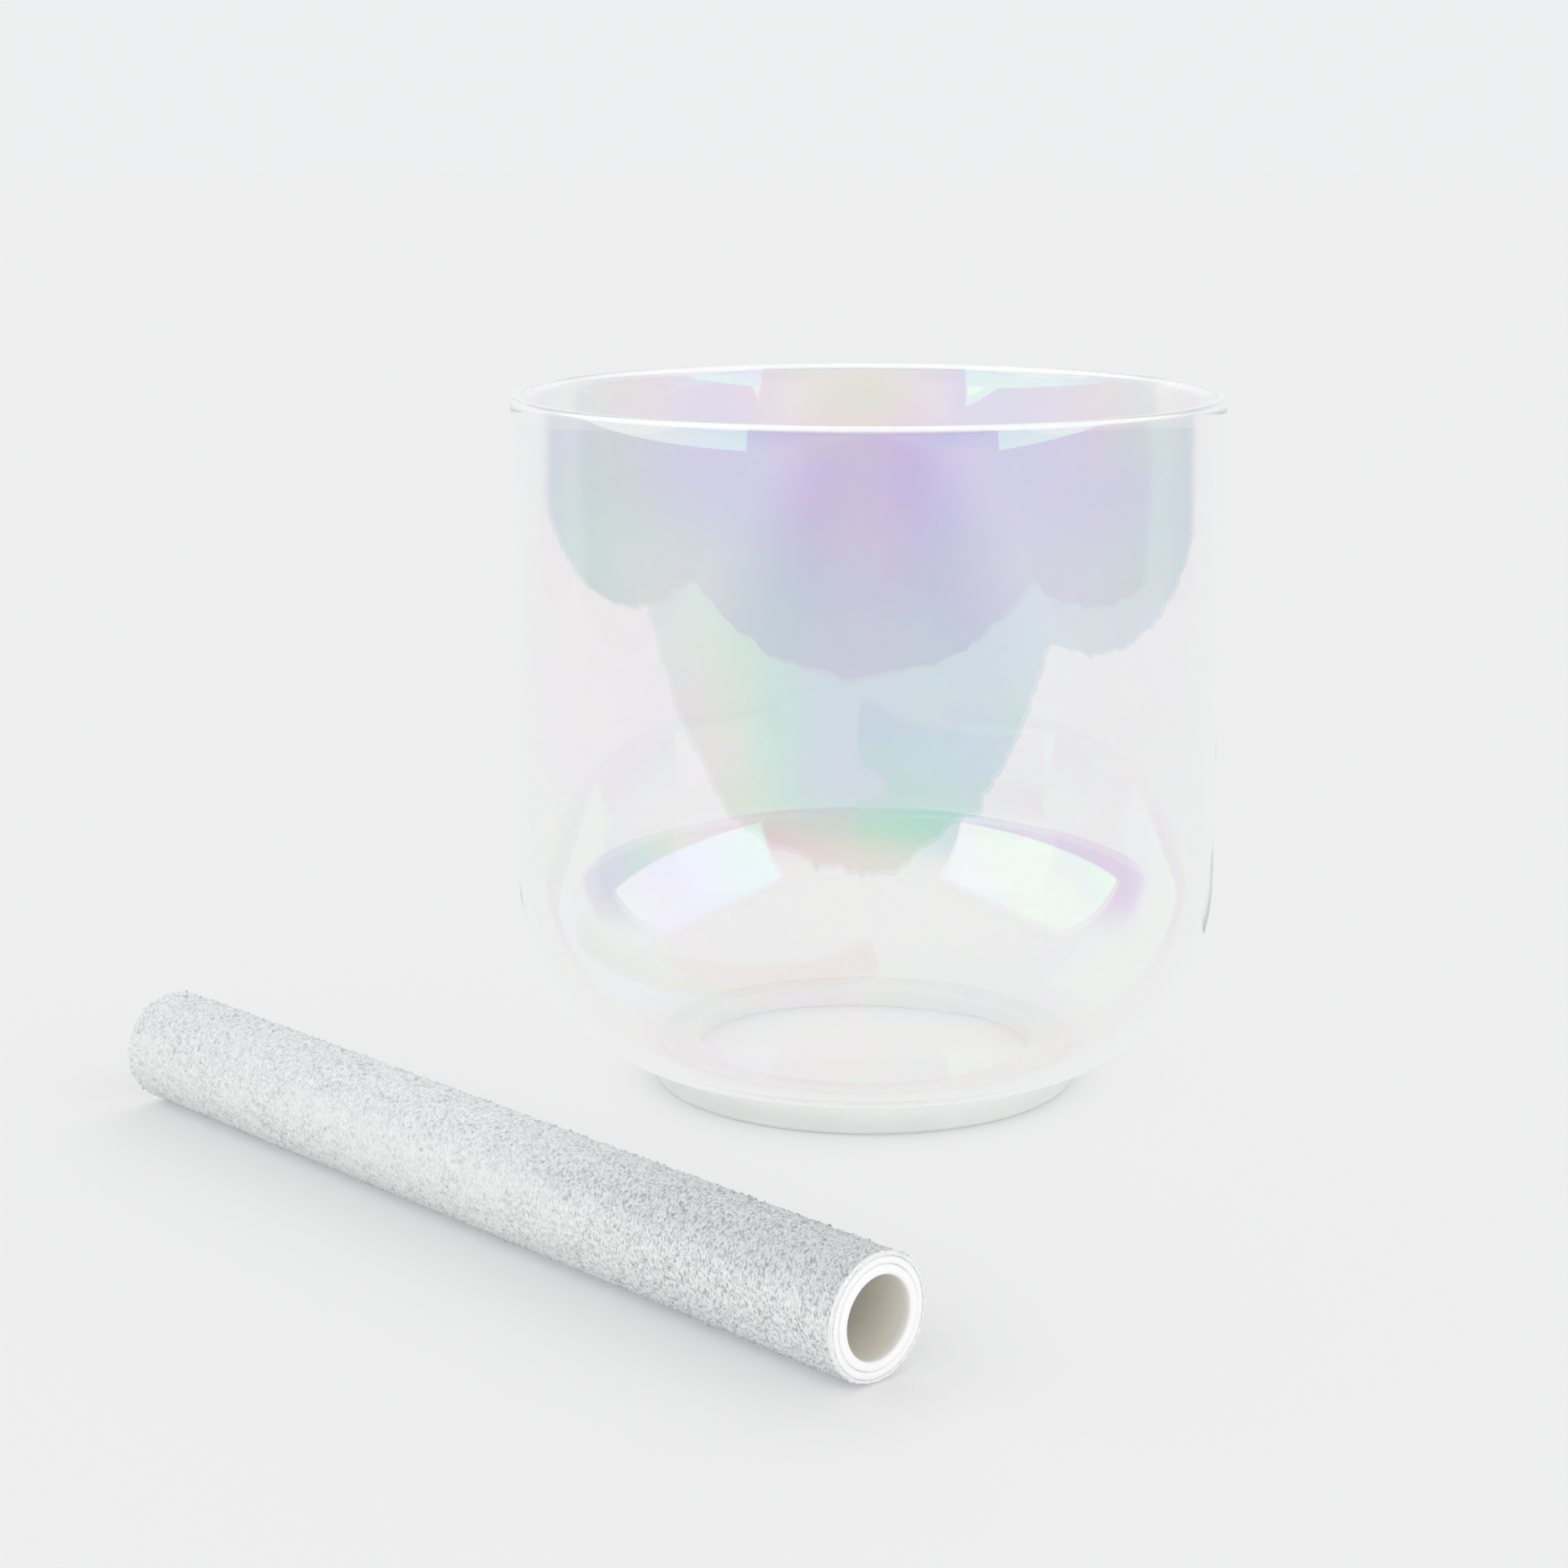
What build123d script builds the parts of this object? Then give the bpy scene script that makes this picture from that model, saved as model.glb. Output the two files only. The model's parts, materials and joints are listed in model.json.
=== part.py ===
from build123d import *
from math import cos, radians, sin
import os

# Clear quartz singing bowl standing on a silicone ring, with its suede mallet lying beside it.
# Millimetres. The origin is the centre of the ring's underside, on the table. +Z is the bowl's axis.

# Silicone ring under the bowl
ring_outer_radius = 62.2
ring_inner_radius = 50.0
ring_height = 7.0
ring_edge_round = 1.5

# Quartz bowl: a flat base, an elliptical turn and a straight wall with a polished rim
bowl_radius = 101.5
bowl_height = 194.4
bowl_wall = 3.1
bowl_floor = 4.0
turn_width = 46.5
turn_height = 54.5
rim_round = 1.2

# Mallet: a stiff tube, a foam sleeve and a suede cover wrapped over it
mallet_radius = 15.55
mallet_length = 287.0
suede_thickness = 1.2
tube_bore_radius = 10.05
tube_wall = 2.4
tube_end_round = 0.9
suede_edge_round = 0.4
glue_gap = 0.05
suede_setback = 0.5
padding_setback = 1.0

# Where the mallet lies: direction of its axis, distance of that line from the bowl's axis,
# and how far its middle is from the foot of that distance, towards its front end
mallet_heading = -46.2
mallet_distance = 162.5
mallet_advance = 22.6

# Heights and radii that follow from those
bowl_base = ring_height
turn_centre_radius = bowl_radius - turn_width
turn_centre_height = bowl_base + turn_height
rim_height = bowl_base + bowl_height
inner_turn_width = turn_width - bowl_wall
inner_turn_height = turn_height - bowl_floor
inner_radius = bowl_radius - bowl_wall
inner_floor = bowl_base + bowl_floor
tube_outer_radius = tube_bore_radius + tube_wall
padding_inner_radius = tube_outer_radius + glue_gap
suede_inner_radius = mallet_radius - suede_thickness
padding_outer_radius = suede_inner_radius - glue_gap

heading = radians(mallet_heading)
mallet_direction = Vector(cos(heading), sin(heading), 0)
mallet_side = Vector(sin(heading), -cos(heading), 0)
mallet_middle = (
    mallet_side * mallet_distance
    + mallet_direction * mallet_advance
    + Vector(0, 0, mallet_radius)
)
mallet_plane = Plane(origin=mallet_middle, x_dir=(0, 0, 1), z_dir=mallet_direction)

os.makedirs("parts", exist_ok=True)

# Ring: a flat band with rounded edges
with BuildPart() as support_ring:
    with BuildSketch(Plane.XZ) as ring_section:
        with Locations((ring_inner_radius, 0)):
            Rectangle(
                ring_outer_radius - ring_inner_radius,
                ring_height,
                align=(Align.MIN, Align.MIN),
            )
        fillet(ring_section.vertices(), ring_edge_round)
    revolve(axis=Axis.Z)
support_ring.part.label = "support_ring"
export_step(support_ring.part, "parts/support_ring.step")

# Bowl: one half section of the wall, turned about the bowl's axis
with BuildPart() as quartz_bowl:
    with BuildSketch(Plane.XZ) as bowl_section:
        with BuildLine():
            Line((0, bowl_base), (turn_centre_radius, bowl_base))
            EllipticalCenterArc(
                (turn_centre_radius, turn_centre_height),
                turn_width,
                turn_height,
                start_angle=-90,
                arc_size=90,
            )
            Line((bowl_radius, turn_centre_height), (bowl_radius, rim_height))
            Line((bowl_radius, rim_height), (inner_radius, rim_height))
            Line((inner_radius, rim_height), (inner_radius, turn_centre_height))
            EllipticalCenterArc(
                (turn_centre_radius, turn_centre_height),
                inner_turn_width,
                inner_turn_height,
                start_angle=0,
                arc_size=-90,
            )
            Line((turn_centre_radius, inner_floor), (0, inner_floor))
            Line((0, inner_floor), (0, bowl_base))
        make_face()
        fillet(bowl_section.vertices().group_by(Axis.Y)[-1], rim_round)
    revolve(axis=Axis.Z)
quartz_bowl.part.label = "quartz_bowl"
export_step(quartz_bowl.part, "parts/quartz_bowl.step")

# Core tube: its rounded ends stand just proud of the layers around it
with BuildPart() as mallet_core_tube:
    with BuildSketch(mallet_plane):
        Circle(tube_outer_radius)
        Circle(tube_bore_radius, mode=Mode.SUBTRACT)
    extrude(amount=mallet_length / 2, both=True)
    fillet(mallet_core_tube.edges().filter_by(GeomType.CIRCLE), tube_end_round)
mallet_core_tube.part.label = "mallet_core_tube"
export_step(mallet_core_tube.part, "parts/mallet_core_tube.step")

# Padding: a foam sleeve, set back a little so that a groove shows around the tube's end
with BuildPart() as mallet_padding:
    with BuildSketch(mallet_plane):
        Circle(padding_outer_radius)
        Circle(padding_inner_radius, mode=Mode.SUBTRACT)
    extrude(amount=mallet_length / 2 - padding_setback, both=True)
mallet_padding.part.label = "mallet_padding"
export_step(mallet_padding.part, "parts/mallet_padding.step")

# Suede: the wrapped skin, with softened outer edges
with BuildPart() as mallet_suede_cover:
    with BuildSketch(mallet_plane):
        Circle(mallet_radius)
        Circle(suede_inner_radius, mode=Mode.SUBTRACT)
    extrude(amount=mallet_length / 2 - suede_setback, both=True)
    round_edges = mallet_suede_cover.edges().filter_by(GeomType.CIRCLE)
    fillet(round_edges.group_by(SortBy.RADIUS)[-1], suede_edge_round)
mallet_suede_cover.part.label = "mallet_suede_cover"
export_step(mallet_suede_cover.part, "parts/mallet_suede_cover.step")
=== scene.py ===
import json
from math import atan2, cos, pi, radians, sin

import bpy
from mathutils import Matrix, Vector, noise


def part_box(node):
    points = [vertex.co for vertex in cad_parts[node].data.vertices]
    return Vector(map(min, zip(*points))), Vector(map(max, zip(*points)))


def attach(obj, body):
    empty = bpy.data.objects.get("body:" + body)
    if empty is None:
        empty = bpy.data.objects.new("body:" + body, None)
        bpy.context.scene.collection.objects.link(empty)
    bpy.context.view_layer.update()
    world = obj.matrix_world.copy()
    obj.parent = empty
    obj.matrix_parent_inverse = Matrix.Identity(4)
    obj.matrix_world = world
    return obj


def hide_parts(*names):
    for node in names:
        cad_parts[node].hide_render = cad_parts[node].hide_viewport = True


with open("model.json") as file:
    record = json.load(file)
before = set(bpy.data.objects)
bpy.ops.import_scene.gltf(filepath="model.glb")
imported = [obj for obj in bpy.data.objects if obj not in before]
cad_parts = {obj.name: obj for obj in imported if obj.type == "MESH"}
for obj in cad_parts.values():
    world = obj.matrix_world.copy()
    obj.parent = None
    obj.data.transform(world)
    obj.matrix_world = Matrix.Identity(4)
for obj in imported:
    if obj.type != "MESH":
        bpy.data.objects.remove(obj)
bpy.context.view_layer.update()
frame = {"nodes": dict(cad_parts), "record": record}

# Singing bowl of clear quartz with an iridescent film, its silicone ring and its suede mallet.
# Metres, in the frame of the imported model: Z is the bowl's axis and the table is z = 0.

# ---------------------------------------------------------------- sizes, from the frame

bowl_low, bowl_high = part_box("quartz_bowl")
ring_low, ring_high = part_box("support_ring")
bore = next(m for m in frame["record"]["mounts"] if m["name"] == "mallet_bore")

BOWL_RADIUS = (bowl_high.x - bowl_low.x) / 2
BOWL_BASE = bowl_low.z
BOWL_RIM = bowl_high.z
RING_RADIUS = (ring_high.x - ring_low.x) / 2
RING_TOP = ring_high.z
MALLET_MIDDLE = Vector(bore["pos_m"])
MALLET_ALONG = Vector(bore["axis"]).normalized()
MALLET_RADIUS = MALLET_MIDDLE.z
BORE_RADIUS = bore["dims"]["r_mm"] / 1000

# Sizes that the frame's boxes don't give
BOWL_WALL = 0.0031
BOWL_FLOOR = 0.0040
TURN_WIDTH = 0.0465
TURN_HEIGHT = 0.0545
RIM_ROUND = 0.0012
REST_GAP = 0.00005
RING_INNER_RADIUS = 0.050
RING_EDGE = 0.0015
TUBE_WALL = 0.0024
GLUE_GAP = 0.00005
SUEDE_THICKNESS = 0.0012
SUEDE_LENGTH = 0.286
PADDING_LENGTH = 0.2862

MALLET_UP = Vector((0, 0, 1))
MALLET_SIDE = MALLET_ALONG.cross(MALLET_UP)


# ---------------------------------------------------------------- camera

CAMERA_PLACE = (-0.02385, -0.873, 0.2785)
CAMERA_TILT = 77.62
CAMERA_LENS = 70.1

camera_data = bpy.data.cameras.new("camera")
camera_data.lens = CAMERA_LENS
camera_data.sensor_width = 36.0
camera_data.clip_start = 0.01
camera = bpy.data.objects.new("camera", camera_data)
camera.location = CAMERA_PLACE
camera.rotation_euler = (radians(CAMERA_TILT), 0, 0)
bpy.context.scene.collection.objects.link(camera)
bpy.context.scene.camera = camera
bpy.context.scene.view_settings.view_transform = "Standard"

# Light runs a long way inside the clear wall before it comes out at the rim or the edge
WALL_BOUNCES = 96
bpy.context.scene.cycles.max_bounces = WALL_BOUNCES
bpy.context.scene.cycles.glossy_bounces = WALL_BOUNCES
bpy.context.scene.cycles.transmission_bounces = WALL_BOUNCES


# ---------------------------------------------------------------- short calls for nodes

class Nodes:
    """A node tree, with short calls that add a node and join it to what it reads."""

    def __init__(self, tree):
        self.tree = tree
        tree.nodes.clear()

    def add(self, kind, inputs=None, **settings):
        made = self.tree.nodes.new("ShaderNode" + kind)
        for name, value in settings.items():
            setattr(made, name, value)
        for name, value in (inputs or {}).items():
            self.feed(made.inputs[name], value)
        return made

    def feed(self, socket, value):
        if isinstance(value, bpy.types.NodeSocket):
            self.tree.links.new(value, socket)
        else:
            socket.default_value = value

    def math(self, operation, a, b=0.0, clamp=False):
        return self.add("Math", {0: a, 1: b}, operation=operation, use_clamp=clamp).outputs[0]

    def smooth(self, value, low, high, out_low=0.0, out_high=1.0):
        """value's way from low to high, as a smooth step between out_low and out_high."""
        sockets = {0: value, 1: low, 2: high, 3: out_low, 4: out_high}
        return self.add("MapRange", sockets, interpolation_type="SMOOTHSTEP").outputs[0]

    def place(self):
        return self.add("TexCoord").outputs["Object"]

    def scaled(self, vector, scale):
        """vector times scale on each axis."""
        return self.add("VectorMath", {0: vector, 1: scale}, operation="MULTIPLY").outputs[0]

    def noise(self, vector, size, detail=2.0, roughness=0.5):
        """Noise from 0 to 1 with features about size metres across."""
        sockets = {"Vector": vector, "Scale": 1 / size, "Detail": detail, "Roughness": roughness}
        return self.add("TexNoise", sockets).outputs[0]

    def mix(self, factor, a, b, blend="MIX"):
        made = self.add("Mix", data_type="RGBA", blend_type=blend)
        self.feed(made.inputs["Factor"], factor)
        self.feed(made.inputs[6], a)
        self.feed(made.inputs[7], b)
        return made.outputs[2]

    def ramp(self, value, stops, interpolation="LINEAR"):
        """The colour at value on a ramp of (position, colour) stops."""
        made = self.add("ValToRGB", {0: value})
        made.color_ramp.interpolation = interpolation
        elements = made.color_ramp.elements
        while len(elements) < len(stops):
            elements.new(0.5)
        for element, (position, colour) in zip(elements, stops):
            element.position = position
            element.color = (*colour, 1)
        return made.outputs[0]

    def bump(self, height, distance, strength):
        sockets = {"Height": height, "Distance": distance, "Strength": strength}
        return self.add("Bump", sockets).outputs[0]


def material(name):
    made = bpy.data.materials.new(name)
    made.use_nodes = True
    return made, Nodes(made.node_tree)


def principled(nodes, sockets):
    shader = nodes.add("BsdfPrincipled", sockets)
    nodes.add("OutputMaterial", {"Surface": shader.outputs[0]})


def shade(nodes, colour):
    """A colour's brightness as a single value."""
    return nodes.add("RGBToBW", {0: colour}).outputs[0]


# ---------------------------------------------------------------- short calls for meshes

def new_piece(name, points, faces, smooth=True):
    mesh = bpy.data.meshes.new(name)
    mesh.from_pydata(points, [], faces)
    mesh.validate()
    mesh.polygons.foreach_set("use_smooth", [smooth] * len(mesh.polygons))
    mesh.update()
    made = bpy.data.objects.new(name, mesh)
    bpy.context.scene.collection.objects.link(made)
    return made


def arc(centre, width, height, start, end, steps):
    """Points on an ellipse's arc from start to end, in degrees."""
    turn = (end - start) / steps
    angles = [radians(start + turn * i) for i in range(steps + 1)]
    return [(centre[0] + width * cos(a), centre[1] + height * sin(a)) for a in angles]


def run(start, end, steps):
    """Points on a straight run, without its ends."""
    shares = [i / steps for i in range(1, steps)]
    return [tuple(a + (b - a) * share for a, b in zip(start, end)) for share in shares]


def lathe(name, profile, segments, place, closed):
    """A mesh turned from a profile of (radius, height). place(radius, height, angle) gives each point.
    A closed profile is a ring's section; an open one starts and ends on the axis."""
    points, rows, faces = [], [], []
    for radius, height in profile:
        if radius == 0:
            rows.append([len(points)] * segments)
            points.append(place(0, height, 0))
            continue
        rows.append(list(range(len(points), len(points) + segments)))
        points += [place(radius, height, 2 * pi * i / segments) for i in range(segments)]
    pairs = list(zip(rows, rows[1:]))
    if closed:
        pairs.append((rows[-1], rows[0]))
    for below, above in pairs:
        for i in range(segments):
            j = (i + 1) % segments
            corners = [below[i], below[j], above[j], above[i]]
            faces.append(list(dict.fromkeys(corners)))
    return new_piece(name, points, faces)


def on_table(radius, height, angle):
    return (radius * cos(angle), radius * sin(angle), height)


# ---------------------------------------------------------------- bowl

BOWL_SEGMENTS = 320

# The unevenness of fused quartz: its depth, how far below the rim and above the floor it starts and
# the height over which it grows, and the shares and sizes of its soft and fine parts
WAVE_DEPTH = 0.00010
WAVE_RIM, WAVE_RIM_GROWTH = 0.006, 0.03
WAVE_FLOOR, WAVE_FLOOR_GROWTH = 0.002, 0.02
SOFT_SHARE, SOFT_ROUND, SOFT_UP = 0.6, 1.3, 9
FINE_SHARE, FINE_ROUND, FINE_UP = 0.12, 5, 4
INNER_SEED, OUTER_SEED = 7.3, 2.1

TURN_CENTRE = (BOWL_RADIUS - TURN_WIDTH, BOWL_BASE + TURN_HEIGHT)
INNER_RADIUS = BOWL_RADIUS - BOWL_WALL
INNER_FLOOR = BOWL_BASE + BOWL_FLOOR


def bowl_profile():
    outer_turn = arc(TURN_CENTRE, TURN_WIDTH, TURN_HEIGHT, -90, 0, 30)
    outer_turn[0] = (TURN_CENTRE[0], BOWL_BASE + REST_GAP)
    inner_turn = arc(TURN_CENTRE, TURN_WIDTH - BOWL_WALL, TURN_HEIGHT - BOWL_FLOOR, 0, -90, 30)
    rim_centre = BOWL_RIM - RIM_ROUND
    outer_rim = arc((BOWL_RADIUS - RIM_ROUND, rim_centre), RIM_ROUND, RIM_ROUND, 0, 90, 7)
    inner_rim = arc((INNER_RADIUS + RIM_ROUND, rim_centre), RIM_ROUND, RIM_ROUND, 90, 180, 7)
    base = [(0, BOWL_BASE + REST_GAP)] + run((0, BOWL_BASE + REST_GAP), outer_turn[0], 6)
    floor = run(inner_turn[-1], (0, INNER_FLOOR), 6) + [(0, INNER_FLOOR)]
    outer_wall = run(outer_turn[-1], outer_rim[0], 24)
    inner_wall = run(inner_rim[-1], inner_turn[0], 24)
    return base + outer_turn + outer_wall + outer_rim + inner_rim + inner_wall + inner_turn + floor


def blown(radius, height, angle):
    """A point of the bowl, with the slight unevenness of fused quartz in its wall and turn."""
    inside = radius < BOWL_RADIUS - BOWL_WALL / 2 or height > BOWL_RIM - RIM_ROUND
    seed = INNER_SEED if inside else OUTER_SEED
    free = min(1.0, max(0.0, (BOWL_RIM - WAVE_RIM - height) / WAVE_RIM_GROWTH))
    free *= min(1.0, max(0.0, (height - INNER_FLOOR - WAVE_FLOOR) / WAVE_FLOOR_GROWTH))
    x, y = cos(angle), sin(angle)
    soft = noise.noise(Vector((SOFT_ROUND * x, SOFT_ROUND * y, SOFT_UP * height + seed)))
    fine = noise.noise(Vector((FINE_ROUND * x, FINE_ROUND * y, FINE_UP * height + seed)))
    depth = WAVE_DEPTH * free
    moved = radius + depth * (soft - 1.0) * SOFT_SHARE + depth * FINE_SHARE * fine
    return on_table(moved, height, angle)


# The film's thickness in nanometres for each colour that it shows
STRAW, ORANGE, PINK = 280, 300, 320
MAUVE, VIOLET, BLUE, SKY = 340, 350, 375, 395
AQUA, GREEN, LIME, YELLOW = 415, 445, 470, 490

# The film's colours round the bowl at its rim, its wall and its turn, by azimuth in degrees from
# the front (-Y) towards +X
FILM_RIM = [
    (-180, STRAW), (-165, STRAW), (-150, BLUE), (-135, ORANGE), (-110, STRAW), (-95, VIOLET),
    (-80, AQUA), (-45, AQUA), (-30, BLUE), (-15, VIOLET), (0, MAUVE), (15, VIOLET), (35, BLUE),
    (50, GREEN), (75, AQUA), (90, VIOLET), (110, STRAW), (125, ORANGE), (140, VIOLET),
    (160, BLUE), (170, STRAW), (180, STRAW),
]
FILM_WALL = [
    (-180, PINK), (-165, VIOLET), (-150, BLUE), (-130, ORANGE), (-115, ORANGE), (-100, VIOLET),
    (-85, AQUA), (-70, LIME), (-45, LIME), (-30, YELLOW), (-20, LIME), (-10, SKY), (0, SKY),
    (20, AQUA), (45, GREEN), (75, GREEN), (90, SKY), (105, VIOLET), (160, VIOLET), (180, PINK),
]
FILM_TURN = [
    (-180, GREEN), (-165, LIME), (-145, LIME), (-125, SKY), (-105, SKY), (-85, AQUA), (-60, GREEN),
    (-30, LIME), (-15, LIME), (0, GREEN), (60, GREEN), (85, AQUA), (105, BLUE), (160, BLUE),
    (180, GREEN),
]

# Heights between which the turn's film gives way to the wall's, and the wall's to the rim's, at the
# front and at the back, and the azimuths in radians between which the front gives way to the back
FRONT_TURN = (0.090, 0.110)
BACK_TURN = (0.060, 0.100)
FRONT_CLIMB = 0.125
BACK_CLIMB = 0.165
CLIMB_END = 0.196
FRONT_END = 1.4
BACK_START = 1.8

# Broad clouds and fine upright streaks in the film: their sizes, and their depths in nanometres
CLOUD_SIZE, CLOUD_DEPTH = 0.045, 8
STREAK_SIZE, STREAK_DEPTH = 0.0016, 3
STREAK_STRETCH = (1, 1, 0.03)

# The film's refractive index is higher near the rim and in the turn than on the wall between them
FILM_INDEX_RIM = 1.93
FILM_INDEX_WALL = 1.81
FILM_INDEX_TURN = 1.90
WALL_INDEX_START = (0.085, 0.102)
WALL_INDEX_END = (0.135, 0.170)
QUARTZ_INDEX = 1.46

# The pale tint that the film gives by its thickness, as seen straight through
FILM_TINTS = [
    (110, (0.970, 0.982, 0.992)),
    (160, (0.985, 0.990, 0.985)),
    (210, (0.985, 0.978, 0.985)),
    (270, (0.990, 0.990, 0.970)),
    (310, (0.992, 0.975, 0.982)),
    (350, (0.975, 0.972, 0.995)),
    (400, (0.970, 0.990, 0.980)),
    (450, (0.990, 0.985, 0.975)),
    (500, (0.990, 0.975, 0.988)),
]
FILM_SPAN = 600

# The rim is ground milky down to this far below its top, and a little further at its two sides,
# which start and end at these distances from the middle
RIM_GROUND = 0.0021
RIM_GROUND_SIDES = 0.0055
SIDES_START = 0.086
SIDES_END = 0.098


def film_thickness(nodes):
    """The film's thickness over the bowl in nanometres, from places on the bowl itself."""
    place = nodes.place()
    axes = nodes.add("SeparateXYZ", {0: place}).outputs
    azimuth = nodes.math("ARCTAN2", axes[0], nodes.math("MULTIPLY", axes[1], -1.0))
    turn = nodes.math("ADD", nodes.math("MULTIPLY", azimuth, 1 / (2 * pi)), 0.5)
    rounds = []
    for film in (FILM_TURN, FILM_WALL, FILM_RIM):
        stops = [((angle + 180) / 360, (nm / FILM_SPAN,) * 3) for angle, nm in film]
        rounds.append(nodes.ramp(turn, stops, "B_SPLINE"))
    aside = nodes.math("ABSOLUTE", azimuth)
    starts, ends, climb_start = (
        nodes.smooth(aside, FRONT_END, BACK_START, front, back)
        for front, back in (*zip(FRONT_TURN, BACK_TURN), (FRONT_CLIMB, BACK_CLIMB))
    )
    wall = nodes.mix(nodes.smooth(axes[2], starts, ends), rounds[0], rounds[1])
    climb = nodes.smooth(axes[2], climb_start, CLIMB_END)
    share = shade(nodes, nodes.mix(climb, wall, rounds[2]))
    clouds = nodes.noise(place, CLOUD_SIZE, 1.0)
    streaks = nodes.noise(nodes.scaled(place, STREAK_STRETCH), STREAK_SIZE, 2.0)
    total = nodes.math("MULTIPLY", share, FILM_SPAN)
    total = nodes.math("ADD", total, nodes.smooth(clouds, 0.25, 0.75, -CLOUD_DEPTH, CLOUD_DEPTH))
    return nodes.math("ADD", total, nodes.smooth(streaks, 0.3, 0.7, -STREAK_DEPTH, STREAK_DEPTH))


def film_index(nodes, height):
    """The film's refractive index by height on the bowl."""
    low = nodes.smooth(height, *WALL_INDEX_START, FILM_INDEX_TURN, FILM_INDEX_WALL)
    high = nodes.smooth(height, *WALL_INDEX_END, 0.0, FILM_INDEX_RIM - FILM_INDEX_WALL)
    return nodes.math("ADD", low, high)


def quartz_material():
    """Clear quartz under its film. The ground rim is milky and catches the light as a bright line."""
    made, nodes = material("coated_quartz")
    thickness = film_thickness(nodes)
    share = nodes.math("DIVIDE", thickness, FILM_SPAN)
    tint = nodes.ramp(share, [(nm / FILM_SPAN, tint) for nm, tint in FILM_TINTS], "EASE")
    place = nodes.place()
    axes = nodes.add("SeparateXYZ", {0: place}).outputs
    aside = nodes.math("ABSOLUTE", axes[0])
    depths = (BOWL_RIM - RIM_GROUND, BOWL_RIM - RIM_GROUND_SIDES)
    ground_from = nodes.smooth(aside, SIDES_START, SIDES_END, *depths)
    milky = nodes.smooth(axes[2], ground_from, BOWL_RIM - RIM_ROUND * 0.8)
    frost = nodes.noise(place, 0.004, 3.0)
    ground = nodes.ramp(frost, [(0.3, (0.93, 0.94, 0.95)), (0.7, (0.99, 0.99, 0.98))])
    bare = nodes.smooth(milky, 0.0, 1.0, 1.0, 0.0)
    principled(nodes, {
        "Base Color": nodes.mix(milky, tint, ground),
        "Transmission Weight": nodes.smooth(milky, 0.0, 1.0, 1.0, 0.30),
        "Roughness": nodes.math("MULTIPLY", milky, 0.12),
        "IOR": QUARTZ_INDEX,
        "Thin Film Thickness": nodes.math("MULTIPLY", thickness, bare),
        "Thin Film IOR": film_index(nodes, axes[2]),
    })
    return made


def make_bowl():
    bowl = lathe("bowl_glass", bowl_profile(), BOWL_SEGMENTS, blown, closed=False)
    bowl.data.materials.append(quartz_material())
    bowl.visible_shadow = False
    bowl.visible_diffuse = False
    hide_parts("quartz_bowl")
    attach(bowl, "bowl")


# ---------------------------------------------------------------- support ring

RING_SEGMENTS = 192


def ring_profile():
    low, high = RING_EDGE, RING_TOP - RING_EDGE
    left, right = RING_INNER_RADIUS + RING_EDGE, RING_RADIUS - RING_EDGE
    corners = [(right, low, -90), (right, high, 0), (left, high, 90), (left, low, 180)]
    points = []
    for radius, height, start in corners:
        points += arc((radius, height), RING_EDGE, RING_EDGE, start, start + 90, 6)
    return points


def silicone_material():
    """Milky translucent silicone with a soft moulded skin."""
    made, nodes = material("silicone")
    place = nodes.place()
    clouds = nodes.noise(place, 0.02, 2.0)
    skin = nodes.bump(nodes.noise(place, 0.0012, 3.0), 0.00004, 0.5)
    principled(nodes, {
        "Base Color": nodes.ramp(clouds, [(0.3, (0.79, 0.80, 0.79)), (0.7, (0.83, 0.84, 0.83))]),
        "Subsurface Weight": 0.5,
        "Subsurface Radius": (0.010, 0.010, 0.009),
        "Subsurface Scale": 0.5,
        "Transmission Weight": 0.12,
        "Roughness": 0.25,
        "IOR": 1.41,
        "Normal": skin,
    })
    return made


def make_ring():
    ring = lathe("ring_silicone", ring_profile(), RING_SEGMENTS, on_table, closed=True)
    ring.data.materials.append(silicone_material())
    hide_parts("support_ring")
    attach(ring, "ring")


# ---------------------------------------------------------------- mallet

SUEDE_ROUND = 184
SUEDE_ROWS = 520
SUEDE_INNER = MALLET_RADIUS - SUEDE_THICKNESS
SUEDE_EDGE = 0.0005

# The suede's nap, its loose tufts, the gap under it and the ragged cut at its ends
NAP_DEPTH = 0.00024
NAP_SIZE = 0.00085
NAP_LEAN = 0.35
NAP_STRETCH = 0.55
TUFT_LENGTH = 0.0013
TUFT_START = 0.22
TABLE_GAP = 0.0001
TABLE_GRAIN = 0.00008
RAGGED_DEPTH = 0.00045
RAGGED_SCALE = 900

# The seam's crease
CREASE_START = -0.0860
CREASE_LENGTH = 0.0240
CREASE_WIDTH = 0.0008
CREASE_DEPTH = 0.0006

# The foam sleeve's grid and the unevenness of its cut ends
FOAM_ROUND = 96
FOAM_ROWS = 40
FOAM_EDGE = 0.0003
FOAM_CELL_DEPTH = 0.00012
FOAM_CELL_SCALE = 500


def on_mallet(radius, along, angle):
    """A point of the mallet: angle 0 looks to the front left, and a quarter turn looks up."""
    out = MALLET_SIDE * cos(angle) + MALLET_UP * sin(angle)
    return MALLET_MIDDLE + MALLET_ALONG * along + out * radius


def nap_place(along, angle):
    """Where a point of the suede lies in its grain, which leans and runs round the mallet."""
    side = MALLET_RADIUS * cos(angle)
    up = MALLET_RADIUS * sin(angle)
    return Vector((along + NAP_LEAN * up, side * NAP_STRETCH, up * NAP_STRETCH)) / NAP_SIZE


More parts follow.
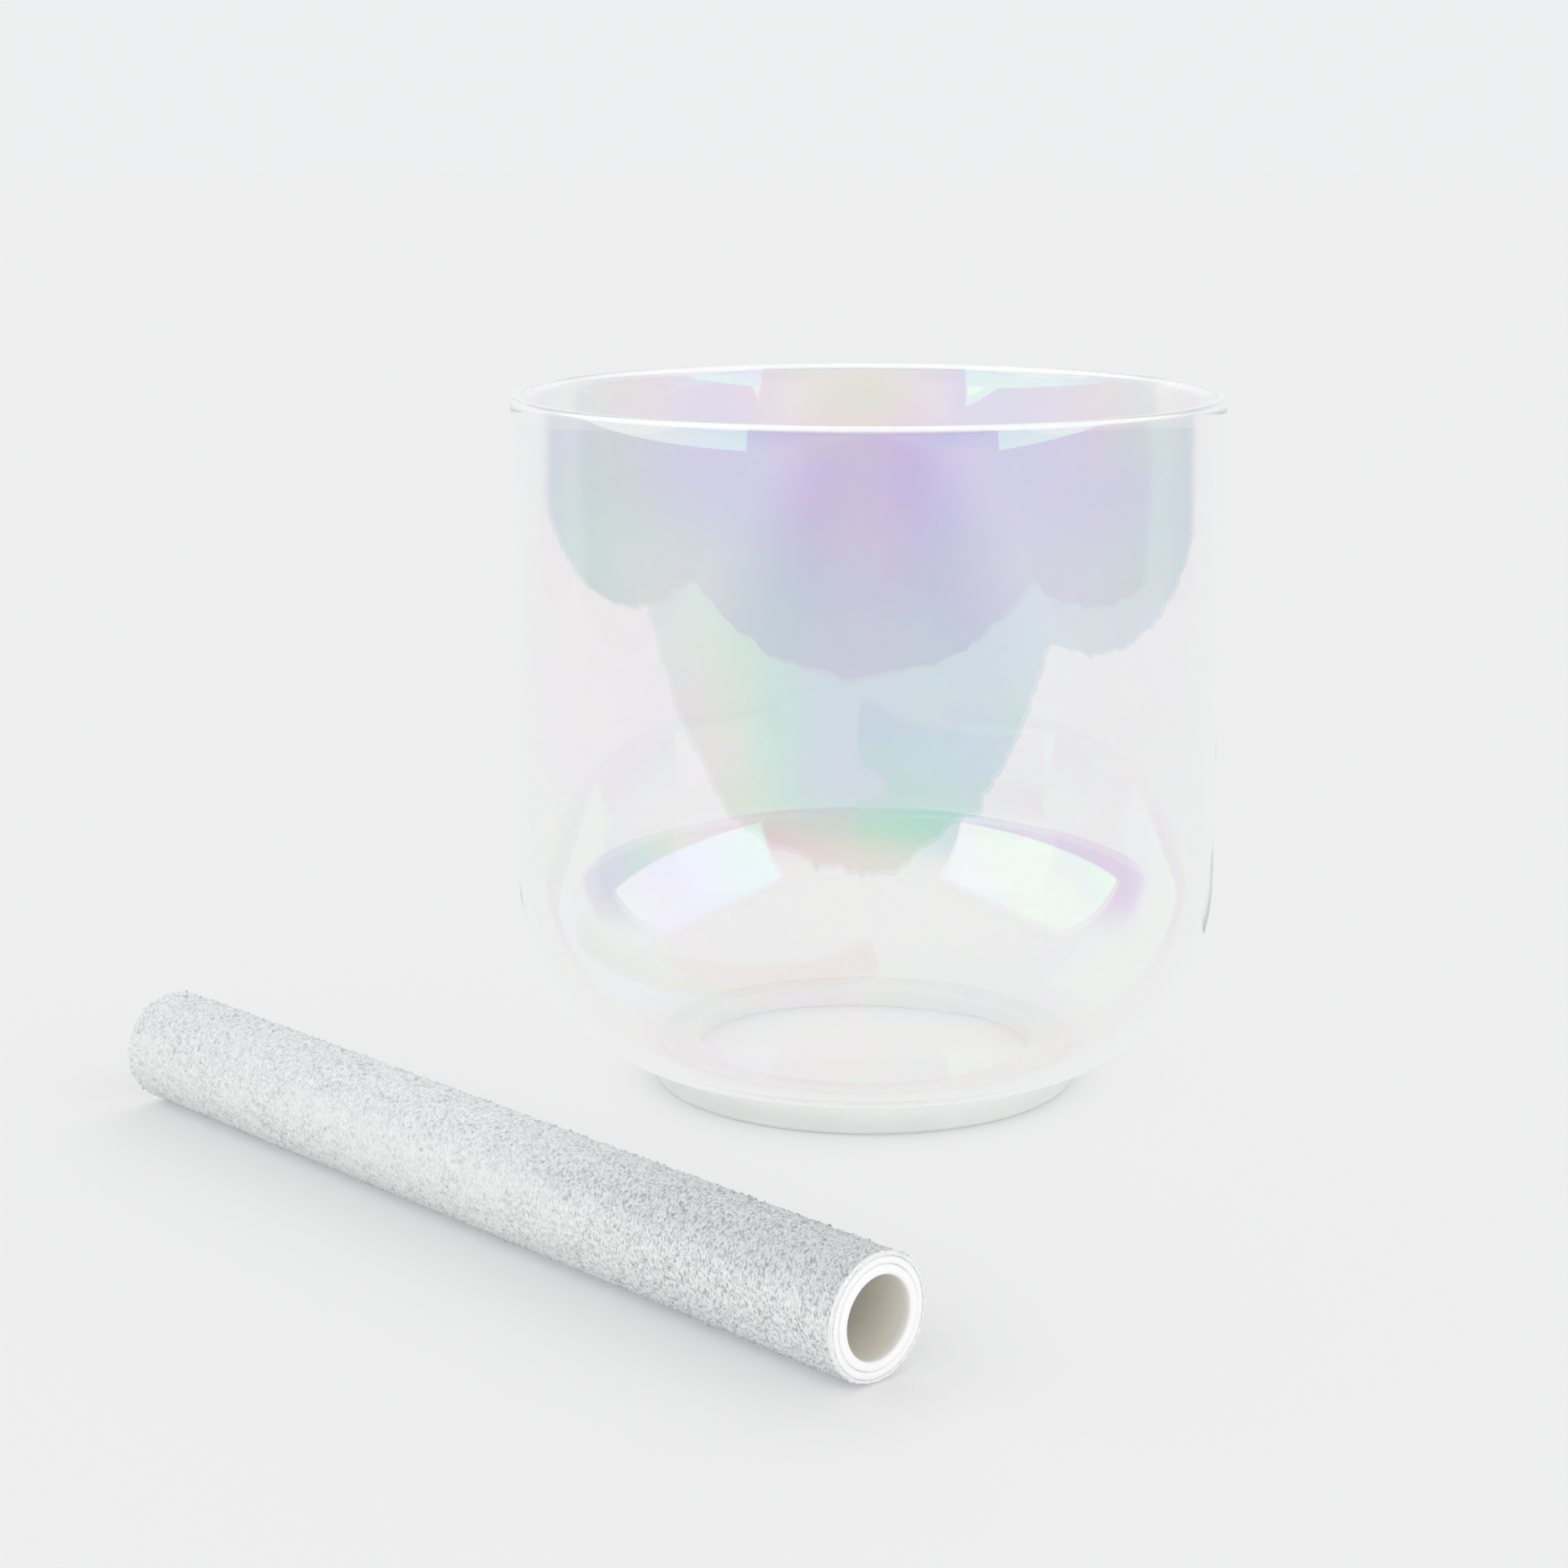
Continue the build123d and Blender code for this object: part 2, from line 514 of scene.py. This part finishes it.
def crease_share(along, angle):
    """How deep the seam's short diagonal crease is, from 0 to 1: near the far end, on the front."""
    share = (along - CREASE_START) / CREASE_LENGTH
    if not 0 <= share <= 1:
        return 0
    line = radians(4 - 42 * share ** 0.7)
    across = (angle - line) * MALLET_RADIUS
    ends = sin(pi * share) ** 0.5
    return ends * max(0.0, 1 - abs(across) / CREASE_WIDTH)


def suede_point(radius, along, angle):
    """A point of the suede's outer face: fibrous nap with pits, loose tufts and the crease."""
    grain = nap_place(along, angle)
    fibre = noise.noise(grain)
    pit = noise.noise(grain * 0.6 + Vector((3, 1, 7)))
    fuzz = noise.noise(grain * 2.3 + Vector((9, 4, 2)))
    swell = noise.noise(grain * 0.05)
    if angle > pi:
        angle -= 2 * pi
    moved = radius - NAP_DEPTH * (1 - 0.8 * fibre - 0.8 * pit - 0.5 * fuzz - 0.4 * swell)
    moved += TUFT_LENGTH * max(0.0, fuzz - TUFT_START) - CREASE_DEPTH * crease_share(along, angle)
    point = on_mallet(moved, along, angle)
    point.z = max(point.z, TABLE_GAP + TABLE_GRAIN * (1 + fibre))
    return point


def make_suede():
    half = SUEDE_LENGTH / 2
    edge = SUEDE_EDGE
    profile = [(SUEDE_INNER, -half + edge), (SUEDE_INNER, -half)]
    profile += [(MALLET_RADIUS - edge, -half), (MALLET_RADIUS, -half + edge)]
    profile += run((MALLET_RADIUS, -half + edge), (MALLET_RADIUS, half - edge), SUEDE_ROWS)
    profile += [(MALLET_RADIUS, half - edge), (MALLET_RADIUS - edge, half)]
    profile += [(SUEDE_INNER, half), (SUEDE_INNER, half - edge)]

    def place(radius, along, angle):
        if radius < MALLET_RADIUS - edge / 2:
            ragged = noise.noise(on_mallet(radius, along, angle) * RAGGED_SCALE)
            along += RAGGED_DEPTH * ragged * (radius > SUEDE_INNER)
            return on_mallet(radius, along, angle)
        return suede_point(radius, along, angle)

    suede = lathe("suede_cover", profile, SUEDE_ROUND, place, closed=True)
    # The crease's share at each point, which the suede material uses to paint shade along the crease
    creased = suede.data.attributes.new("crease", "FLOAT", "POINT")
    for vertex, value in zip(suede.data.vertices, creased.data):
        offset = vertex.co - MALLET_MIDDLE
        around = atan2(offset.z, offset.dot(MALLET_SIDE))
        value.value = crease_share(offset.dot(MALLET_ALONG), around)
    return suede


# Small places where the nap is rubbed smooth: along the mallet, angle in degrees, reach, weight
SCUFFS = [
    (0.130, 19, 0.0035, 0.7),
    (0.138, 3, 0.0030, 0.7),
    (0.139, 28, 0.0020, 0.5),
    (0.137, 56, 0.0020, 0.5),
]


# The middle of the band that is brushed smooth, as an angle round the mallet in radians
BRUSHED_ANGLE = 0.22


def mallet_axes(nodes):
    """How far along the mallet, out to its front left and up from its middle a place is."""
    middle = tuple(MALLET_MIDDLE)
    offset = nodes.add("VectorMath", {0: nodes.place(), 1: middle}, operation="SUBTRACT").outputs[0]
    axes = []
    for way in (MALLET_ALONG, MALLET_SIDE, MALLET_UP):
        dot = nodes.add("VectorMath", {0: offset, 1: tuple(way)}, operation="DOT_PRODUCT")
        axes.append(dot.outputs["Value"])
    return axes


def suede_material():
    """Pale suede, lighter and smoother where it is brushed. Its top is coloured darker than its sides,
    most of all towards its near end, which is painted shade; its pits are painted dark as shade,
    deeper towards the near end.
    """
    made, nodes = material("suede")
    place = nodes.place()
    along, side, up = mallet_axes(nodes)
    angle = nodes.math("ARCTAN2", up, side)
    leaned = nodes.math("ADD", along, nodes.math("MULTIPLY", up, NAP_LEAN))
    stretched = [nodes.math("MULTIPLY", axis, NAP_STRETCH) for axis in (side, up)]
    grain = nodes.add("CombineXYZ", {0: leaned, 1: stretched[0], 2: stretched[1]}).outputs[0]
    fibre = nodes.noise(grain, NAP_SIZE * 0.75, 3.0, 0.65)
    pit = nodes.noise(grain, NAP_SIZE * 0.65, 2.0, 0.6)
    mottle = nodes.noise(place, 0.014, 3.0)
    near = nodes.smooth(along, -0.02, 0.12)

    aside = nodes.math("ABSOLUTE", nodes.math("SUBTRACT", angle, BRUSHED_ANGLE))
    band = nodes.smooth(aside, 0.65, 0.15)
    brushed = nodes.math("MULTIPLY", band, nodes.smooth(mottle, 0.38, 0.56))
    brushed = nodes.math("MULTIPLY", brushed, nodes.smooth(along, 0.09, 0.03))
    for where, degrees, reach, weight in SCUFFS:
        centre = tuple(on_mallet(MALLET_RADIUS, where, radians(degrees)))
        distance = nodes.add("VectorMath", {0: place, 1: centre}, operation="DISTANCE")
        rubbed = nodes.smooth(distance.outputs["Value"], reach, reach * 0.3, 0.0, weight)
        brushed = nodes.math("MAXIMUM", brushed, rubbed)

    # Painted shade: the top gets a darker colour than the sides, much darker towards the near end
    low = nodes.mix(near, (0.92, 0.93, 0.925, 1), (0.91, 0.915, 0.92, 1))
    high = nodes.mix(near, (0.91, 0.92, 0.94, 1), (0.76, 0.765, 0.78, 1))
    ground = nodes.mix(nodes.smooth(angle, 0.15, 0.95), low, high)
    # Painted shade: the pits are coloured nearly black, more so towards the near end and less where
    # brushed
    shadow = nodes.smooth(near, 0.0, 1.0, 0.32, 0.56)
    shadowed = nodes.math("MULTIPLY", nodes.smooth(pit, 0.54, 0.36), shadow)
    shadowed = nodes.math("MULTIPLY", shadowed, nodes.smooth(brushed, 0.0, 1.0, 1.0, 0.75))
    pitted = nodes.mix(shadowed, ground, (0.20, 0.20, 0.21, 1))
    # The light fibre tips are the nap's grain and partly a painted highlight
    tipped = nodes.mix(nodes.smooth(fibre, 0.50, 0.70, 0.0, 0.6), pitted, (0.97, 0.975, 0.98, 1))
    soft = nodes.mix(nodes.math("MULTIPLY", brushed, 0.38), tipped, (0.93, 0.94, 0.935, 1))
    # Painted shade: the crease is coloured dark brown along its line
    crease = nodes.add("Attribute", attribute_name="crease").outputs["Fac"]
    creased = nodes.mix(nodes.math("MULTIPLY", crease, 0.45), soft, (0.38, 0.36, 0.34, 1))
    half = SUEDE_LENGTH / 2
    cut = nodes.smooth(nodes.math("ABSOLUTE", along), half - 0.0010, half - 0.0003)
    principled(nodes, {
        "Base Color": nodes.mix(cut, creased, (0.98, 0.98, 0.98, 1)),
        "Roughness": 0.95,
        "Specular IOR Level": 0.1,
        "Sheen Weight": 0.1,
        "Sheen Roughness": 0.5,
        "Normal": nodes.bump(nodes.math("ADD", fibre, pit), 0.0006, 0.95),
    })
    return made


def make_padding():
    half = PADDING_LENGTH / 2
    inner = BORE_RADIUS + TUBE_WALL + GLUE_GAP
    outer = SUEDE_INNER - GLUE_GAP
    edge = FOAM_EDGE
    profile = [(inner, -half + edge), (inner + edge, -half)]
    profile += [(outer - edge, -half), (outer, -half + edge)]
    profile += run((outer, -half + edge), (outer, half - edge), FOAM_ROWS)
    profile += [(outer, half - edge), (outer - edge, half)]
    profile += [(inner + edge, half), (inner, half - edge)]
    profile += run((inner, half - edge), (inner, -half + edge), FOAM_ROWS)

    def place(radius, along, angle):
        cell = noise.noise(on_mallet(radius, along, angle) * FOAM_CELL_SCALE)
        at_end = abs(along) > half - 2 * edge
        return on_mallet(radius, along + FOAM_CELL_DEPTH * cell * at_end, angle)

    return lathe("foam_sleeve", profile, FOAM_ROUND, place, closed=True)


def foam_material():
    """White foam with fine cells."""
    made, nodes = material("foam")
    place = nodes.place()
    cells = nodes.noise(place, 0.0005, 3.0)
    colour = nodes.ramp(cells, [(0.3, (0.94, 0.94, 0.94)), (0.7, (0.98, 0.98, 0.98))])
    principled(nodes, {
        "Base Color": colour,
        "Roughness": 0.9,
        "Specular IOR Level": 0.2,
        "Normal": nodes.bump(cells, 0.0002, 0.4),
    })
    return made


def tube_material():
    """White plastic, coloured darker and slightly yellow inside the bore past its mouth; the darkening
    is painted shade in the recess.
    """
    made, nodes = material("tube_plastic")
    place = nodes.place()
    along = nodes.math("ABSOLUTE", mallet_axes(nodes)[0])
    # Painted shade: past its first few millimetres the bore is coloured darker and slightly yellow,
    # with mottling
    deep = nodes.smooth(along, 0.1430, 0.1405)
    bore_mottle = nodes.noise(place, 0.006, 2.0)
    inner = nodes.ramp(bore_mottle, [(0.3, (0.84, 0.81, 0.73)), (0.7, (0.88, 0.86, 0.79))])
    principled(nodes, {
        "Base Color": nodes.mix(deep, (0.97, 0.97, 0.97, 1), inner),
        "Roughness": 0.35,
        "Specular IOR Level": 0.3,
        "Normal": nodes.bump(nodes.noise(place, 0.0015, 2.0), 0.00003, 0.3),
    })
    return made


def make_mallet():
    suede = make_suede()
    suede.data.materials.append(suede_material())
    padding = make_padding()
    padding.data.materials.append(foam_material())
    for piece, node, slot in (
        (suede, "mallet_suede_cover", "suede"),
        (padding, "mallet_padding", "foam"),
    ):
        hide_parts(node)
        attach(piece, "mallet")
    tube = frame["nodes"]["mallet_core_tube"]
    plastic = tube_material()
    for slot in tube.material_slots:
        slot.material = plastic


# ---------------------------------------------------------------- studio

BACKDROP = (0.862, 0.865, 0.873, 1)
TABLE_PAINT = (0.65, 0.65, 0.65, 1)
TABLE_FILL = (0.196, 0.197, 0.202, 1)
DARK_ROOM = (0.11, 0.12, 0.28, 1)
SIDE_ROOM = (0.40, 0.41, 0.56, 1)
UPPER_ROOM = (0.90, 0.90, 0.90, 1)
SOFTBOX_COLOUR = (0.64, 0.85, 1.0, 1)
SOFTBOX_BRIGHTNESS = 1.7

# How raggedly polished faces show the edges of the table
TEAR_SIZE = 0.07
TEAR_DEPTH = 0.07
STUDIO_REACH = 14.0

# The white backdrop lies behind: it ends between these shares of y in a direction's level length.
# The room pales upwards between these heights, and to its sides between these distances.
BACKDROP_START = 0.58
BACKDROP_END = 0.46
ROOM_PALES_UP = (0.12, 0.60)
ROOM_PALES_ASIDE = (0.35, 0.95)

# The white table's edges, as a slope and a start: y along x at the front, and x along y at its sides.
# The far wall shows a front edge that bends with the square of x, and sides this far from the middle.
NEAR_FRONT = (-0.11, -0.445)
NEAR_RIGHT = (0.25, 0.91)
NEAR_LEFT = (-0.20, -1.05)
FAR_FRONT = (0.22, -0.450)
FAR_SIDE = 0.74

# The two softboxes: where each starts near the camera and ends far from it, on the right, how high
# they reach there, how far along the lower edge starts, and the lower edges' heights on each side
SOFTBOX_NEAR = (0.80, -1.19)
SOFTBOX_FAR = (1.09, 0.40)
SOFTBOX_TOP_NEAR = 1.09
SOFTBOX_TOP_FAR = 1.05
SOFTBOX_LEAN = 0.08
SOFTBOXES = [
    ("stage_softbox_right", 1, 0.068, 0.300),
    ("stage_softbox_left", -1, 0.062, 0.190),
]

# Soft light for matt faces: the dome's own level, then lights behind, on the left, right and front,
# each of which fades between these cosines of the angle from its middle
DOME_LIGHT = 0.56
SOFT_LIGHT_FADE = (0.66, 0.95)
SOFT_LIGHTS = [
    ((0.25, 0.85, 0.50), 0.9),
    ((-0.85, -0.10, 0.42), 0.8),
    ((0.80, -0.45, 0.32), 0.7),
    ((-0.10, -0.95, 0.28), 0.8),
]


def mirrored(nodes):
    """1 on a ray that polished faces have reflected once or twice, and 0 on any other ray."""
    light_path = nodes.add("LightPath").outputs
    once = nodes.math("GREATER_THAN", light_path["Glossy Depth"], 0.5)
    trapped = nodes.math("LESS_THAN", light_path["Glossy Depth"], 2.5)
    return nodes.math("MULTIPLY", nodes.math("MULTIPLY", once, trapped), light_path["Is Glossy Ray"])


def soft_light(nodes, direction):
    """The dome's brightness for matt faces, with its broad soft lights."""
    total = DOME_LIGHT
    for place, amount in SOFT_LIGHTS:
        way = tuple(Vector(place).normalized())
        facing = nodes.add("VectorMath", {0: direction, 1: way}, operation="DOT_PRODUCT")
        lit = nodes.smooth(facing.outputs["Value"], *SOFT_LIGHT_FADE, 0.0, amount)
        total = nodes.math("ADD", lit, total)
    return total


def level_square(nodes, axes):
    """x squared plus y squared."""
    x, y = (nodes.math("MULTIPLY", axes[i], axes[i]) for i in (0, 1))
    return nodes.math("ADD", x, y)


def make_world():
    """A white dome. Polished faces reflect the studio's darker front half instead."""
    world = bpy.data.worlds.new("studio")
    world.use_nodes = True
    bpy.context.scene.world = world
    nodes = Nodes(world.node_tree)
    light_path = nodes.add("LightPath").outputs
    direction = nodes.add("TexCoord").outputs["Generated"]
    axes = nodes.add("SeparateXYZ", {0: direction}).outputs
    level = nodes.math("MAXIMUM", nodes.math("SQRT", level_square(nodes, axes)), 0.001)
    behind = nodes.math("DIVIDE", axes[1], level)
    front = nodes.smooth(behind, BACKDROP_START, BACKDROP_END)
    room = nodes.mix(nodes.smooth(axes[2], *ROOM_PALES_UP), DARK_ROOM, UPPER_ROOM)
    room = nodes.mix(front, BACKDROP, room)
    seen = nodes.math("ADD", light_path["Is Camera Ray"], light_path["Is Glossy Ray"], clamp=True)
    direct = nodes.mix(seen, soft_light(nodes, direction), BACKDROP)
    colour = nodes.mix(mirrored(nodes), direct, room)
    shader = nodes.add("Background", {"Color": colour, "Strength": 1.0})
    nodes.add("OutputWorld", {"Surface": shader.outputs[0]})


def edge_line(nodes, value, line):
    """A slope times value, plus a start."""
    made = nodes.math("MULTIPLY_ADD", value, line[0])
    made.node.inputs[2].default_value = line[1]
    return made


def table_outline(nodes, x, y):
    """1 where polished faces show the white table, 0 beyond its edges. The near wall shows it wider
    than the far wall does, which is the wall that a ray reaches through the near one."""
    light_path = nodes.add("LightPath").outputs
    far_wall = nodes.math("GREATER_THAN", light_path["Transmission Depth"], 3.5)
    near_front = edge_line(nodes, x, NEAR_FRONT)
    far_front = edge_line(nodes, nodes.math("MULTIPLY", x, x), FAR_FRONT)
    near_right = edge_line(nodes, y, NEAR_RIGHT)
    near_left = edge_line(nodes, y, NEAR_LEFT)
    front, right, left = (
        nodes.add("Mix", {0: far_wall, 2: near, 3: far}).outputs[0]
        for near, far in (
            (near_front, far_front),
            (near_right, FAR_SIDE),
            (near_left, -FAR_SIDE),
        )
    )
    inside = nodes.math("GREATER_THAN", y, front)
    inside = nodes.math("MULTIPLY", inside, nodes.math("LESS_THAN", x, right))
    return nodes.math("MULTIPLY", inside, nodes.math("GREATER_THAN", x, left))


def stage_paint(nodes):
    """What polished faces show of the floor: the white table, the darker room in front of it and
    at its sides, and white again behind it."""
    place = nodes.place()
    tear = nodes.add("TexNoise", {"Vector": place, "Scale": 1 / TEAR_SIZE, "Detail": 2.0})
    centred = {0: tear.outputs["Color"], 1: (0.5, 0.5, 0.5)}
    moved = nodes.add("VectorMath", centred, operation="SUBTRACT").outputs[0]
    moved = nodes.scaled(moved, (TEAR_DEPTH,) * 3)
    torn = nodes.add("VectorMath", {0: place, 1: moved}).outputs[0]
    axes = nodes.add("SeparateXYZ", {0: torn}).outputs
    behind = nodes.math("DIVIDE", axes[1], nodes.math("SQRT", level_square(nodes, axes)))
    aside = nodes.math("ABSOLUTE", axes[0])
    room = nodes.mix(nodes.smooth(aside, *ROOM_PALES_ASIDE), DARK_ROOM, SIDE_ROOM)
    room = nodes.mix(nodes.smooth(behind, BACKDROP_START, BACKDROP_END), BACKDROP, room)
    return nodes.mix(table_outline(nodes, axes[0], axes[1]), room, BACKDROP)


def make_table():
    """Matt white floor, which polished faces reflect as a table in a darker room."""
    made, nodes = material("stage_table")
    paint = nodes.add("BsdfDiffuse", {"Color": TABLE_PAINT}).outputs[0]
    fill = nodes.add("Emission", {"Color": TABLE_FILL}).outputs[0]
    lit = nodes.add("AddShader", {0: paint, 1: fill}).outputs[0]
    shown = nodes.add("Emission", {"Color": stage_paint(nodes)}).outputs[0]
    mixed = nodes.add("MixShader", {0: mirrored(nodes), 1: lit, 2: shown})
    nodes.add("OutputMaterial", {"Surface": mixed.outputs[0]})
    square = [(-1, -1), (1, -1), (1, 1), (-1, 1)]
    corners = [(x * STUDIO_REACH, y * STUDIO_REACH, 0) for x, y in square]
    table = new_piece("stage_table", corners, [[0, 1, 2, 3]], smooth=False)
    table.data.materials.append(made)


def make_softbox(name, corners):
    """A lit panel that shows only in polished faces."""
    made = new_piece(name, corners, [[0, 1, 2, 3]], smooth=False)
    painted, nodes = material(name)
    clear = nodes.add("BsdfTransparent")
    light = nodes.add("Emission", {"Color": SOFTBOX_COLOUR, "Strength": SOFTBOX_BRIGHTNESS})
    mixed = nodes.add("MixShader", {0: mirrored(nodes), 1: clear.outputs[0], 2: light.outputs[0]})
    nodes.add("OutputMaterial", {"Surface": mixed.outputs[0]})
    made.data.materials.append(painted)
    made.visible_shadow = False
    made.visible_diffuse = False
    made.visible_camera = False


def make_softboxes():
    """Two panels, one on each side of the camera, that slope up towards their outer ends."""
    for name, way, low_near, low_far in SOFTBOXES:
        near = Vector((way * SOFTBOX_NEAR[0], SOFTBOX_NEAR[1], 0))
        far = Vector((way * SOFTBOX_FAR[0], SOFTBOX_FAR[1], 0))
        low = near.lerp(far, SOFTBOX_LEAN) + Vector((0, 0, low_near))
        corners = [low, far + Vector((0, 0, low_far))]
        corners += [far + Vector((0, 0, SOFTBOX_TOP_FAR)), near + Vector((0, 0, SOFTBOX_TOP_NEAR))]
        make_softbox(name, corners)


make_world()
make_table()
make_softboxes()
make_bowl()
make_ring()
make_mallet()
